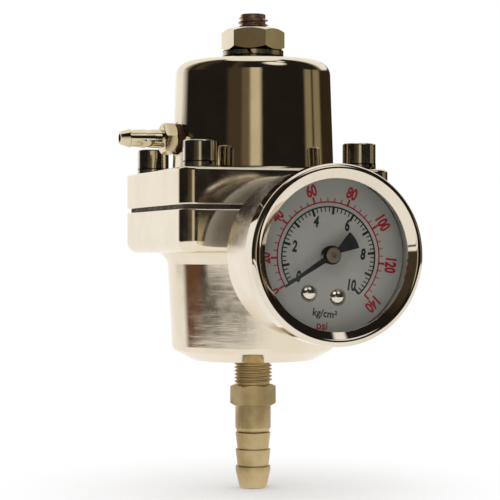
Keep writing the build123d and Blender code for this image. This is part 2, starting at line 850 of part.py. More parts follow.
def bourdon_tube():
    """Flattened tube bent to a C, which uncurls under pressure."""
    tube = revolve(tube_face(0), Axis.Z, tube_sweep) - revolve(tube_face(tube_wall), Axis.Z, tube_sweep)
    return gauge_place(Rot(0, 0, tube_start_angle - tube_sweep) * tube)


def tip_angle():
    """Angle of the tube tip's middle."""
    return tube_start_angle - tube_sweep - tip_width_angle / 2


def tab_levels():
    """Levels of the tube tip's tab, in front of the link."""
    low = sector_front + link_gap + link_thickness + link_gap
    return low, low + tip_tab_thickness


def tube_tip():
    """Plug soldered on the tube's free end, with a tab that hangs loosely on the link's pin."""
    end = tube_start_angle - tube_sweep
    half = tube_thickness / 2 + tip_overlap
    low = tube_level - tube_breadth / 2 - tip_overlap
    high = tube_level + tube_breadth / 2 + tip_overlap
    plug = ring_sector(tube_bend_radius + half, tube_bend_radius - half, end - tip_width_angle, end,
                       low, high)
    tab_low, tab_high = tab_levels()
    reach = tube_bend_radius - half + tip_overlap / 2 - tip_tab_radius
    tab = Pos(tip_tab_radius, 0, tab_low) * extrude(
        Pos(reach / 2, 0) * Rectangle(reach, tip_tab_breadth) + Circle(tip_tab_breadth / 2),
        tab_high - tab_low)
    hole = rod(link_pin_radius + tip_pin_play, tab_low, tab_high, tip_tab_radius)
    return gauge_place(plug + Rot(0, 0, tip_angle()) * (tab - hole))


def tail_place():
    """Place of the sector's tail pin, straight below its pivot."""
    return 0, -gear_distance - tail_length


def link():
    """Flat link from the sector's tail to the tube tip, with a pin riveted in at either end."""
    tail_x, tail_y = tail_place()
    tip_x, tip_y = polar(tip_tab_radius, tip_angle())
    low = sector_front + link_gap
    plan = Sketch() + [Pos(tail_x, tail_y) * Circle(link_width / 2),
                       Pos(tip_x, tip_y) * Circle(link_width / 2)]
    plan = make_hull(plan.edges())
    bar = Pos(0, 0, low) * extrude(plan, link_thickness)
    bar += rod(link_pin_radius, low, tab_levels()[1], tip_x, tip_y)
    return gauge_place(bar + rod(link_pin_radius, sector_back, low, tail_x, tail_y))


def tooth(pitch_radius):
    """Outline of one involute tooth on the +X side, from its root to its tip and back."""
    base = pitch_radius * cos(radians(pressure_angle))
    root = pitch_radius - dedendum
    tip = pitch_radius + gear_module
    involute_at_pitch = tan(radians(pressure_angle)) - radians(pressure_angle)
    half_at_pitch = (pi * gear_module / 2 - gear_backlash) / (2 * pitch_radius)

    def flank(radius):
        turn = acos(min(1, base / radius))
        half = half_at_pitch + involute_at_pitch - (tan(turn) - turn)
        return radius * cos(half), radius * sin(half)

    start = max(root, base)
    radii = [start + (tip - start) * step / 3 for step in range(4)]
    side = [flank(radius) for radius in radii]
    if root < base:
        spread = side[0][1] / side[0][0]
        side.insert(0, (root / sqrt(1 + spread**2), root * spread / sqrt(1 + spread**2)))
    side.insert(0, (root - gear_module, side[0][1]))
    return [(x, -y) for x, y in side] + side[::-1]


def tooth_face(pitch_radius):
    """One tooth as a face."""
    return make_face(Polyline(*tooth(pitch_radius), close=True))


def sector_gear():
    """Toothed sector with a hub, two arms and a tail lever."""
    root = sector_pitch_radius - dedendum
    step = 360 / sector_gear_teeth
    first = 90 + 1.5 * step
    last = first - (sector_cut_teeth - 1) * step
    rim = ring_sector(root, root - sector_rim_width, last - step / 2, first + step / 2, 0,
                      sector_thickness)
    plate = rim + rod(sector_hub_radius, 0, sector_thickness)
    for index in range(sector_cut_teeth):
        cog = extrude(tooth_face(sector_pitch_radius), sector_thickness)
        plate += Rot(0, 0, first - index * step) * cog
    reach = root - sector_rim_width / 2
    for angle in (last + step, first - step):
        arm = Pos(reach / 2, 0, sector_thickness / 2) * Box(reach, sector_arm_width, sector_thickness)
        plate += Rot(0, 0, angle) * arm
    tail = Pos(0, -tail_length / 2, sector_thickness / 2) * Box(
        sector_arm_width, tail_length, sector_thickness)
    plate += tail + rod(link_width / 2, 0, sector_thickness, 0, -tail_length)
    plate -= rod(link_pin_radius + running_clearance, 0, sector_thickness, 0, -tail_length)
    plate -= rod(arbor_radius + press_clearance, 0, sector_thickness)
    return gauge_place(Pos(0, -gear_distance, sector_back) * plate)


def sector_arbor():
    """Arbor that the sector turns with, in holes of both movement plates."""
    return gauge_place(rod(arbor_radius, block_front + arbor_end_gap, front_plate_front - arbor_end_gap,
                           0, -gear_distance))


def pinion_shaft():
    """Pointer shaft with the pinion cut on it; its front end carries the pointer."""
    low = sector_back - pinion_extra
    height = sector_thickness + 2 * pinion_extra
    shaft = rod(shaft_radius, block_front + arbor_end_gap, shaft_front)
    core = rod(pinion_pitch_radius - dedendum, low, low + height)
    shape = shaft + core
    for index in range(pinion_teeth):
        cog = Pos(0, 0, low) * extrude(tooth_face(pinion_pitch_radius), height)
        shape += Rot(0, 0, -90 + index * 360 / pinion_teeth) * cog
    collet_low = front_plate_front + arbor_end_gap
    shape += rod(collet_radius, collet_low, collet_low + hairspring_rise + hairspring_breadth)
    return gauge_place(shape)


def hairspring():
    """Flat spiral that keeps the gear teeth against one flank."""
    low = front_plate_front + arbor_end_gap + hairspring_rise
    path = None
    side = 1
    radius = hairspring_inner_radius
    centre = 0.0
    for half_turn in range(2 * hairspring_turns):
        start = (centre - side * radius, 0)
        grown = radius + hairspring_pitch / 4
        centre += side * hairspring_pitch / 4
        stop = (centre + side * grown, 0)
        top = (centre, side * grown)
        arc = ThreePointArc(start, top, stop)
        path = arc if path is None else path + arc
        radius = grown
        side = -side
    strip = Pos(0, 0, low) * extrude(trace(path, hairspring_strip), hairspring_breadth)
    return gauge_place(strip)


def movement_plate(low):
    """Plate with bearing holes for the pinion shaft and the sector's arbor."""
    breadth = movement_plate_top + movement_plate_reach
    plan = Pos(0, (movement_plate_top - movement_plate_reach) / 2) * RectangleRounded(
        movement_plate_width, breadth, movement_plate_round)
    plan = plan & Circle(movement_plate_reach)
    plate = Pos(0, 0, low) * extrude(plan, movement_plate_thickness)
    high = low + movement_plate_thickness
    plate -= rod(shaft_radius + running_clearance, low, high)
    return plate - rod(arbor_radius + running_clearance, low, high, 0, -gear_distance)


def movement_back_plate():
    """Plate on the socket block."""
    return gauge_place(movement_plate(block_front))


def movement_front_plate():
    """Plate that carries the dial posts."""
    return gauge_place(movement_plate(front_plate_back))


def movement_pillars():
    """Three pillars between the movement plates; the low one is clear of the tail's swing."""
    beside_tail = tail_length + link_width / 2 + pillar_gap + pillar_radius
    places = [(-pillar_offset, pillar_top), (pillar_offset, pillar_top),
              (-beside_tail, -gear_distance)]
    return [gauge_place(rod(pillar_radius, back_plate_front, front_plate_back, x, y))
            for x, y in places]


def pointer():
    """Black pointer: tapering needle, disc and a counterweight in the shape of a fan."""
    needle = make_face(Polyline(
        (0, -pointer_root_width / 2), (pointer_length, -pointer_tip_width / 2),
        (pointer_length, pointer_tip_width / 2), (0, pointer_root_width / 2), close=True))
    fan = make_face(
        Line((0, 0), polar(pointer_tail_radius, 180 - pointer_tail_angle))
        + ThreePointArc(polar(pointer_tail_radius, 180 - pointer_tail_angle),
                        (-pointer_tail_radius, 0),
                        polar(pointer_tail_radius, 180 + pointer_tail_angle))
        + Line(polar(pointer_tail_radius, 180 + pointer_tail_angle), (0, 0)))
    plan = needle + fan + Circle(pointer_disc_radius) - Circle(shaft_radius + press_clearance)
    blade = Pos(0, 0, pointer_back) * extrude(plan, pointer_thickness)
    return gauge_place(Rot(0, 0, pointer_zero_angle) * blade)


def pointer_hub():
    """Brass boss pressed on the shaft, over the pointer."""
    low = pointer_back + pointer_thickness
    high = pointer_back + hub_height
    hub = turned([(0, low), (hub_radius, low), (hub_radius, high), (0, high)],
                 [0, 0, hub_round, 0])
    return gauge_place(hub - rod(shaft_radius + press_clearance, low, shaft_front))


def save(name, pieces):
    """Write one sub-part, of one or more separate solids, as a STEP file."""
    solids = []
    for piece in pieces if isinstance(pieces, list) else [pieces]:
        solids += list(piece.solids())
    shape = solids[0] if len(solids) == 1 else Compound(children=solids)
    export_step(shape, os.path.join("parts", name + ".step"))


sub_parts = [
    lower_housing, upper_housing, cap_screws, cap_screw_washers, diaphragm, upper_plate, lower_plate,
    valve_holder, valve_ball, valve_disc, valve_seat, regulator_spring, spring_seat, adjusting_screw,
    lock_nut, flat_washer, spring_washer, return_barb, vacuum_nipple, nipple_seal_washer, gauge_socket,
    gauge_case, case_screws, gauge_bezel, gauge_lens, lens_gasket, gauge_dial, dial_screws, dial_posts,
    bourdon_tube, tube_tip, link, sector_gear, sector_arbor, pinion_shaft, hairspring,
    movement_back_plate, movement_front_plate, movement_pillars, pointer, pointer_hub,
]

os.makedirs("parts", exist_ok=True)
for sub_part in sub_parts:
    save(sub_part.__name__, sub_part())
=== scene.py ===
# Adjustable fuel pressure regulator with a pressure gauge: finishes, threads, dial print and studio.
# The camera looks level at the gauge from a little to its left, as in the photograph.

from functools import partial
from math import atan2, cos, pi, radians, sin, sqrt

import bmesh
import bpy
from mathutils import Matrix, Vector


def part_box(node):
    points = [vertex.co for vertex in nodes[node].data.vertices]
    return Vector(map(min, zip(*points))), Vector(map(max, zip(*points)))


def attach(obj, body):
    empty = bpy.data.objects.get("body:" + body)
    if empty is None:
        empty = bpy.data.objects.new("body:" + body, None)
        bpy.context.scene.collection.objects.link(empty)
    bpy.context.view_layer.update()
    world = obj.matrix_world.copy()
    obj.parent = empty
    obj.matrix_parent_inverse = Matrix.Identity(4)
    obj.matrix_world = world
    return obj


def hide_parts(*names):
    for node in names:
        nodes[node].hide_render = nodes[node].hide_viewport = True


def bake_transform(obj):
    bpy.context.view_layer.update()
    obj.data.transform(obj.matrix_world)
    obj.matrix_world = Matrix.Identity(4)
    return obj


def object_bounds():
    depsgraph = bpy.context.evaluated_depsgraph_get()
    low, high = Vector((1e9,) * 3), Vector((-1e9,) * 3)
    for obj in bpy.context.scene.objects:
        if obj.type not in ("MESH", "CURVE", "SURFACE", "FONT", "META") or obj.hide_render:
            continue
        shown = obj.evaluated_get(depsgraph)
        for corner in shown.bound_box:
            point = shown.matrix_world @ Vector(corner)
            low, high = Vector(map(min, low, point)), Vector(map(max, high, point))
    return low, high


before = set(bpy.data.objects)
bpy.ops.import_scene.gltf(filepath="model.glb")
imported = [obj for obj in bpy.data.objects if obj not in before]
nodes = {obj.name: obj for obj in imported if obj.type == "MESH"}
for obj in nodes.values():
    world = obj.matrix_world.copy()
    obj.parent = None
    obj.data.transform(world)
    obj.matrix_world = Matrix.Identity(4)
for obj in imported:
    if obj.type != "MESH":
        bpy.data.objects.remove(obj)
cad_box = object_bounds()

MM = 0.001
gauge_level = 40 * MM
case_wall_middle = 19.6 * MM
dial_front = 54.0 * MM
lower_flange_thickness = 11.0 * MM
upper_flange_thickness = 9.4 * MM


# Camera

camera_turn = radians(-19)
to_camera = Vector((sin(camera_turn), -cos(camera_turn), 0))
to_right = Vector((cos(camera_turn), sin(camera_turn), 0))
camera_distance = 440 * MM
camera_height = 41.2 * MM
camera_aside = 0.8 * MM

camera_data = bpy.data.cameras.new("camera")
camera_data.sensor_width = 36
camera_data.lens = 119.1
camera_data.clip_start = 0.01
camera_data.clip_end = 20
camera = bpy.data.objects.new("camera", camera_data)
camera.location = to_camera * camera_distance - to_right * camera_aside + Vector((0, 0, camera_height))
camera.rotation_euler = (radians(90), 0, camera_turn)
bpy.context.scene.collection.objects.link(camera)
bpy.context.scene.camera = camera
bpy.context.scene.view_settings.view_transform = "Standard"


# Small helpers for node trees

def wire(tree, source, target):
    """Join two sockets."""
    tree.links.new(source, target)


def put(tree, kind, **values):
    """New node with its properties set."""
    made = tree.nodes.new(kind)
    for name, value in values.items():
        setattr(made, name, value)
    return made


def feed(tree, socket, value):
    """Give an input socket a number, a colour or another node's output."""
    if isinstance(value, bpy.types.NodeSocket):
        wire(tree, value, socket)
    else:
        socket.default_value = value


def sums(tree, operation, first, second=0.0, third=0.0):
    """Math node; returns its output."""
    made = put(tree, "ShaderNodeMath", operation=operation)
    for socket, value in zip(made.inputs, (first, second, third)):
        feed(tree, socket, value)
    return made.outputs[0]


def spread(tree, value, low, high, to_low=0.0, to_high=1.0, kind="SMOOTHSTEP"):
    """Map a range of a number to another range."""
    made = put(tree, "ShaderNodeMapRange", interpolation_type=kind)
    for socket, item in zip(made.inputs, (value, low, high, to_low, to_high)):
        feed(tree, socket, item)
    return made.outputs[0]


def blend_colour(tree, share, first, second):
    """Mix two colours by a share."""
    made = put(tree, "ShaderNodeMix", data_type="RGBA")
    feed(tree, made.inputs[0], share)
    feed(tree, made.inputs[6], first)
    feed(tree, made.inputs[7], second)
    return made.outputs[2]


def place(tree, scale=(1, 1, 1), start=(0, 0, 0)):
    """Object coordinates, moved and stretched."""
    where = put(tree, "ShaderNodeTexCoord")
    mapping = put(tree, "ShaderNodeMapping")
    wire(tree, where.outputs["Object"], mapping.inputs["Vector"])
    mapping.inputs["Location"].default_value = start
    mapping.inputs["Scale"].default_value = scale
    return mapping.outputs[0]


def noise(tree, where, scale, detail=3.0, rough=0.5):
    """Noise texture; returns its value."""
    made = put(tree, "ShaderNodeTexNoise")
    wire(tree, where, made.inputs["Vector"])
    made.inputs["Scale"].default_value = scale
    made.inputs["Detail"].default_value = detail
    made.inputs["Roughness"].default_value = rough
    return made.outputs[0]


def bump(tree, height, depth, before=None):
    """Bump of a depth in metres."""
    made = put(tree, "ShaderNodeBump")
    made.inputs["Strength"].default_value = 1.0
    made.inputs["Distance"].default_value = depth
    wire(tree, height, made.inputs["Height"])
    if before is not None:
        wire(tree, before, made.inputs["Normal"])
    return made.outputs[0]


def finish(name):
    """New material; returns it, its tree and its shader."""
    made = bpy.data.materials.new(name)
    made.use_nodes = True
    return made, made.node_tree, made.node_tree.nodes["Principled BSDF"]


def wear(tree, first, second, scale):
    """Two colours, mixed by a soft pattern."""
    pattern = spread(tree, noise(tree, place(tree), scale, 4.0, 0.6), 0.35, 0.65)
    return blend_colour(tree, pattern, (*first, 1), (*second, 1))


def smears(tree, *glosses):
    """Roughness that follows the smears of hand polishing, once for each range of gloss."""
    pattern = noise(tree, place(tree), 220, 5.0, 0.65)
    return [spread(tree, pattern, 0.3, 0.75, *gloss) for gloss in glosses]


# Finishes

def polished(name, light, dark, gloss, wave_scale, wave_depth, brush=None, brush_depth=0.0, axis=2):
    """Polished metal: slight change of colour and gloss, hand-polished waves, fine turned lines."""
    made, tree, shader = finish(name)
    wire(tree, wear(tree, light, dark, 90), shader.inputs["Base Color"])
    shader.inputs["Metallic"].default_value = 1.0
    wire(tree, smears(tree, gloss)[0], shader.inputs["Roughness"])
    normal = bump(tree, noise(tree, place(tree), wave_scale, 1.5, 0.4), wave_depth)
    if brush:
        stretch = [brush[0]] * 3
        stretch[axis] = brush[1]
        lines = noise(tree, place(tree, tuple(stretch)), 1.0, 4.0, 0.7)
        normal = bump(tree, lines, brush_depth, normal)
    wire(tree, normal, shader.inputs["Normal"])
    return made


def cast_metal(name, light, dark, flange, round_gloss, flange_gloss, lines, line_depth):
    """Cast metal: a polished round part with turned lines, and a duller flange between two levels."""
    made, tree, shader = finish(name)
    wire(tree, wear(tree, light, dark, 90), shader.inputs["Base Color"])
    shader.inputs["Metallic"].default_value = 1.0
    parts = put(tree, "ShaderNodeSeparateXYZ")
    wire(tree, place(tree), parts.inputs[0])
    edge = 0.6 * MM
    wave_depth = 1.1e-4
    over = spread(tree, parts.outputs[2], flange[0] - edge, flange[0])
    under = spread(tree, parts.outputs[2], flange[1] + edge, flange[1])
    inside = sums(tree, "MULTIPLY", over, under)
    turned, ground_flat = smears(tree, round_gloss, flange_gloss)
    gloss = put(tree, "ShaderNodeMix", data_type="FLOAT")
    wire(tree, inside, gloss.inputs[0])
    wire(tree, turned, gloss.inputs[2])
    wire(tree, ground_flat, gloss.inputs[3])
    wire(tree, gloss.outputs[0], shader.inputs["Roughness"])
    waves = noise(tree, place(tree), 55, 1.5, 0.4)
    waves = sums(tree, "MULTIPLY", waves, sums(tree, "ADD", inside, 0.25))
    normal = bump(tree, waves, wave_depth)
    streaks = noise(tree, place(tree, (lines[0], lines[0], lines[1])), 1.0, 3.0, 0.6)
    outside = sums(tree, "SUBTRACT", 1.0, sums(tree, "MULTIPLY", inside, 0.7))
    wire(tree, bump(tree, sums(tree, "MULTIPLY", streaks, outside), line_depth, normal),
         shader.inputs["Normal"])
    return made


def cup_metal(name, light, dark, gloss):
    """Plated sheet, painted a pale grey on the inside of the gauge case."""
    made, tree, shader = finish(name)
    paint = (0.42, 0.41, 0.38, 1)
    parts = put(tree, "ShaderNodeSeparateXYZ")
    wire(tree, place(tree, start=(0, 0, -gauge_level)), parts.inputs[0])
    wide = sums(tree, "SQRT", sums(tree, "ADD", sums(tree, "POWER", parts.outputs[0], 2.0),
                                   sums(tree, "POWER", parts.outputs[2], 2.0)))
    plating = sums(tree, "GREATER_THAN", wide, case_wall_middle)
    coats = blend_colour(tree, plating, paint, wear(tree, light, dark, 90))
    wire(tree, coats, shader.inputs["Base Color"])
    wire(tree, plating, shader.inputs["Metallic"])
    wire(tree, smears(tree, gloss)[0], shader.inputs["Roughness"])
    wire(tree, bump(tree, noise(tree, place(tree), 60, 1.5, 0.4), 2e-5), shader.inputs["Normal"])
    return made


def plain_metal(name, light, dark, gloss, scale=400, depth=1e-6):
    """Turned or pressed metal with fine grain."""
    made, tree, shader = finish(name)
    wire(tree, wear(tree, light, dark, scale / 2), shader.inputs["Base Color"])
    shader.inputs["Metallic"].default_value = 1.0
    grain = noise(tree, place(tree), scale, 5.0, 0.65)
    wire(tree, spread(tree, grain, 0.3, 0.7, *gloss), shader.inputs["Roughness"])
    wire(tree, bump(tree, noise(tree, place(tree), 2 * scale, 3.0), depth), shader.inputs["Normal"])
    return made


def hub_metal(name, rim, centre, gloss):
    """Turned brass, darker in the middle, where the pointer's shaft ends, and at the rim."""
    made, tree, shader = finish(name)
    low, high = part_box("pointer_hub")
    middle = (low + high) / 2
    away = put(tree, "ShaderNodeVectorMath", operation="LENGTH")
    wire(tree, place(tree, (1, 0, 1), start=(-middle.x, 0, -middle.z)), away.inputs[0])
    outer = (high.x - low.x) / 2
    darker = spread(tree, away.outputs["Value"], 0.45 * outer, 0.2 * outer)
    edge = spread(tree, away.outputs["Value"], 0.86 * outer, outer)
    stained = noise(tree, place(tree), 900, 4.0, 0.6)
    share = sums(tree, "MAXIMUM", sums(tree, "MULTIPLY", darker, spread(tree, stained, 0.3, 0.6)), edge)
    wire(tree, blend_colour(tree, share, (*rim, 1), (*centre, 1)), shader.inputs["Base Color"])
    shader.inputs["Metallic"].default_value = 1.0
    wire(tree, spread(tree, stained, 0.3, 0.7, *gloss), shader.inputs["Roughness"])
    wire(tree, bump(tree, stained, 1e-6), shader.inputs["Normal"])
    return made


def washer_metal(name, node, light, dark, gloss):
    """Plated washer with painted shade in the gaps above and below it."""
    made, tree, shader = finish(name)
    # painted shade: a near-black colour for the gaps at the washer's top and foot, where it meets the head
    # or nut and the part below
    gap_shade = (0.02, 0.015, 0.01, 1)
    top_seam = (0.34 * MM, 0.18 * MM)
    foot_seam = (0.26 * MM, 0.12 * MM)
    low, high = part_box(node)
    parts = put(tree, "ShaderNodeSeparateXYZ")
    wire(tree, place(tree), parts.inputs[0])
    # painted shade: narrow bands at the top and the foot of the washer blend to that dark colour
    top = spread(tree, parts.outputs[2], high.z - top_seam[0], high.z - top_seam[1])
    foot = spread(tree, parts.outputs[2], low.z + foot_seam[0], low.z + foot_seam[1])
    shaded_joints = sums(tree, "MAXIMUM", top, foot)
    plating = wear(tree, light, dark, 300)
    wire(tree, blend_colour(tree, shaded_joints, plating, gap_shade), shader.inputs["Base Color"])
    shader.inputs["Metallic"].default_value = 1.0
    grain = noise(tree, place(tree), 600, 4.0, 0.6)
    wire(tree, spread(tree, grain, 0.3, 0.7, *gloss), shader.inputs["Roughness"])
    wire(tree, bump(tree, grain, 2e-6), shader.inputs["Normal"])
    return made


def matte(name, first, second, gloss, scale=500, depth=4e-6):
    """Rubber, fibre and paint."""
    made, tree, shader = finish(name)
    wire(tree, wear(tree, first, second, scale / 3), shader.inputs["Base Color"])
    grain = noise(tree, place(tree), scale, 4.0, 0.6)
    wire(tree, spread(tree, grain, 0.3, 0.7, *gloss), shader.inputs["Roughness"])
    wire(tree, bump(tree, grain, depth), shader.inputs["Normal"])
    return made


def clear_glass(name):
    """Clear window glass."""
    made, tree, shader = finish(name)
    shader.inputs["Base Color"].default_value = (0.97, 0.98, 0.97, 1)
    shader.inputs["Transmission Weight"].default_value = 1.0
    shader.inputs["IOR"].default_value = 1.3
    film = noise(tree, place(tree), 60, 4.0, 0.6)
    wire(tree, spread(tree, film, 0.4, 0.8, 0.0, 0.03), shader.inputs["Roughness"])
    return made


lower_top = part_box("lower_housing")[1].z
upper_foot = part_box("upper_housing")[0].z
lower_flange = (lower_top - lower_flange_thickness, lower_top)
upper_flange = (upper_foot, upper_foot + upper_flange_thickness)
body_metal = cast_metal("polished_body_metal", (0.82, 0.74, 0.61), (0.77, 0.69, 0.56), lower_flange,
                        (0.07, 0.13), (0.07, 0.14), (60, 600), 1.0e-5)
bonnet_metal = cast_metal("polished_bonnet_metal", (0.81, 0.73, 0.59), (0.76, 0.68, 0.54), upper_flange,
                          (0.05, 0.11), (0.07, 0.14), (60, 2200), 6e-7)
screw_metal = polished("screw_plating", (0.72, 0.68, 0.60), (0.62, 0.57, 0.48), (0.06, 0.16), 200,
                       6e-6, (300, 3000), 8e-7)
nut_metal = polished("nut_plating", (0.82, 0.74, 0.58), (0.72, 0.64, 0.47), (0.08, 0.18), 160,
                     8e-6, (500, 1800), 1.2e-6)
nipple_metal = polished("nipple_plating", (0.74, 0.67, 0.50), (0.60, 0.52, 0.36), (0.05, 0.12), 200,
                        6e-6, (500, 3000), 8e-7, axis=0)
gauge_metal = polished("gauge_plating", (0.78, 0.71, 0.61), (0.73, 0.66, 0.56), (0.02, 0.07), 40, 8e-6)
case_metal = cup_metal("case_plating", (0.86, 0.78, 0.67), (0.82, 0.74, 0.63), (0.2, 0.3))
barb_brass = polished("barb_brass", (0.60, 0.47, 0.26), (0.43, 0.32, 0.155), (0.34, 0.48), 240, 8e-6,
                      (250, 2600), 3e-6)
stem_steel = plain_metal("tarnished_stem", (0.55, 0.38, 0.28), (0.36, 0.23, 0.17), (0.22, 0.38))
movement_brass = plain_metal("gauge_works_brass", (0.80, 0.64, 0.36), (0.72, 0.56, 0.30), (0.15, 0.28))
hub_brass = hub_metal("dark_hub_brass", (0.23, 0.19, 0.14), (0.10, 0.05, 0.025), (0.3, 0.45))
inner_steel = plain_metal("inner_steel", (0.66, 0.66, 0.67), (0.58, 0.58, 0.60), (0.14, 0.26))
screw_washer_metal = washer_metal("screw_washer_plating", "cap_screw_washers", (0.70, 0.63, 0.50),
                                  (0.58, 0.51, 0.40), (0.1, 0.2))
spring_washer_metal = washer_metal("spring_washer_plating", "spring_washer", (0.66, 0.58, 0.42),
                                   (0.52, 0.45, 0.31), (0.14, 0.26))
flat_washer_metal = washer_metal("flat_washer_plating", "flat_washer", (0.66, 0.58, 0.42),
                                 (0.52, 0.45, 0.31), (0.14, 0.26))
plate_steel = plain_metal("plated_sheet", (0.66, 0.64, 0.58), (0.57, 0.55, 0.48), (0.2, 0.34))
spring_wire = plain_metal("spring_wire", (0.42, 0.42, 0.44), (0.34, 0.34, 0.36), (0.2, 0.35))
dark_rubber = matte("diaphragm_edge_rubber", (0.035, 0.022, 0.016), (0.055, 0.035, 0.026), (0.5, 0.7))
gasket_rubber = matte("lens_gasket_rubber", (0.34, 0.33, 0.30), (0.30, 0.29, 0.26), (0.5, 0.7))
seal_fibre = matte("red_fibre", (0.060, 0.011, 0.006), (0.035, 0.007, 0.004), (0.4, 0.6))
dial_paint = matte("dial_face_paint", (0.50, 0.49, 0.44), (0.47, 0.46, 0.42), (0.45, 0.55), 900, 4e-7)
pointer_paint = matte("pointer_black", (0.002, 0.002, 0.003), (0.005, 0.005, 0.005), (0.45, 0.6), 900, 1e-6)
black_ink = matte("black_ink", (0.004, 0.004, 0.005), (0.008, 0.008, 0.008), (0.5, 0.6), 900, 2e-7)
red_ink = matte("red_ink", (0.50, 0.012, 0.03), (0.42, 0.010, 0.024), (0.4, 0.5), 900, 2e-7)
window_glass = clear_glass("window_glass")

node_finishes = {
    "lower_housing": body_metal, "upper_housing": bonnet_metal,
    "cap_screws": screw_metal, "cap_screw_washers": screw_washer_metal, "case_screws": screw_metal,
    "lock_nut": nut_metal, "flat_washer": flat_washer_metal, "spring_washer": spring_washer_metal,
    "vacuum_nipple": nipple_metal, "nipple_seal_washer": seal_fibre,
    "gauge_case": case_metal, "gauge_bezel": gauge_metal, "dial_screws": gauge_metal,
    "gauge_lens": window_glass, "lens_gasket": gasket_rubber, "gauge_dial": dial_paint,
    "pointer": pointer_paint, "pointer_hub": hub_brass, "diaphragm": dark_rubber,
    "upper_plate": plate_steel, "lower_plate": plate_steel, "spring_seat": plate_steel,
    "regulator_spring": spring_wire, "hairspring": spring_wire,
    "valve_ball": inner_steel, "valve_disc": inner_steel, "sector_arbor": inner_steel,
    "pinion_shaft": inner_steel, "gauge_socket": barb_brass,
}
for name, part in nodes.items():
    part.data.materials.clear()
    part.data.materials.append(node_finishes.get(name, movement_brass))
nodes["gauge_lens"].visible_shadow = False


# Meshes

weld_distance = 1e-6


def dressed(name, mesh, material):
    """New object in the scene from a finished mesh, all in one material."""
    piece = bpy.data.objects.new(name, mesh)
    bpy.context.scene.collection.objects.link(piece)
    mesh.materials.clear()
    mesh.materials.append(material)
    return piece


def add_piece(name, mesh, body, material):
    """Put a finished mesh in the scene, on a CAD body."""
    piece = dressed(name, mesh, material)
    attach(piece, body)
    return piece


def node_group(name, sockets):
    """Empty geometry tree with named inputs and one geometry output."""
    tree = bpy.data.node_groups.new(name, "GeometryNodeTree")
    for label, kind in sockets:
        tree.interface.new_socket(label, in_out="INPUT", socket_type=kind)
    tree.interface.new_socket("Geometry", in_out="OUTPUT", socket_type="NodeSocketGeometry")
    return tree, tree.nodes.new("NodeGroupInput"), tree.nodes.new("NodeGroupOutput")


def grown(tree, name, values):
    """Mesh that a geometry tree makes with these values for its named inputs."""
    holder = bpy.data.objects.new(name, bpy.data.meshes.new(name))
    bpy.context.scene.collection.objects.link(holder)
    modifier = holder.modifiers.new("shape", "NODES")
    modifier.node_group = tree
    for item in tree.interface.items_tree:
        if item.item_type == "SOCKET" and item.in_out == "INPUT" and item.name in values:
            modifier[item.identifier] = values[item.name]
    graph = bpy.context.evaluated_depsgraph_get()
    mesh = bpy.data.meshes.new_from_object(holder.evaluated_get(graph), depsgraph=graph)
    mesh.name = name
    bpy.data.objects.remove(holder)
    return mesh


# Screw threads: one tree for the adjusting screw and the return barb

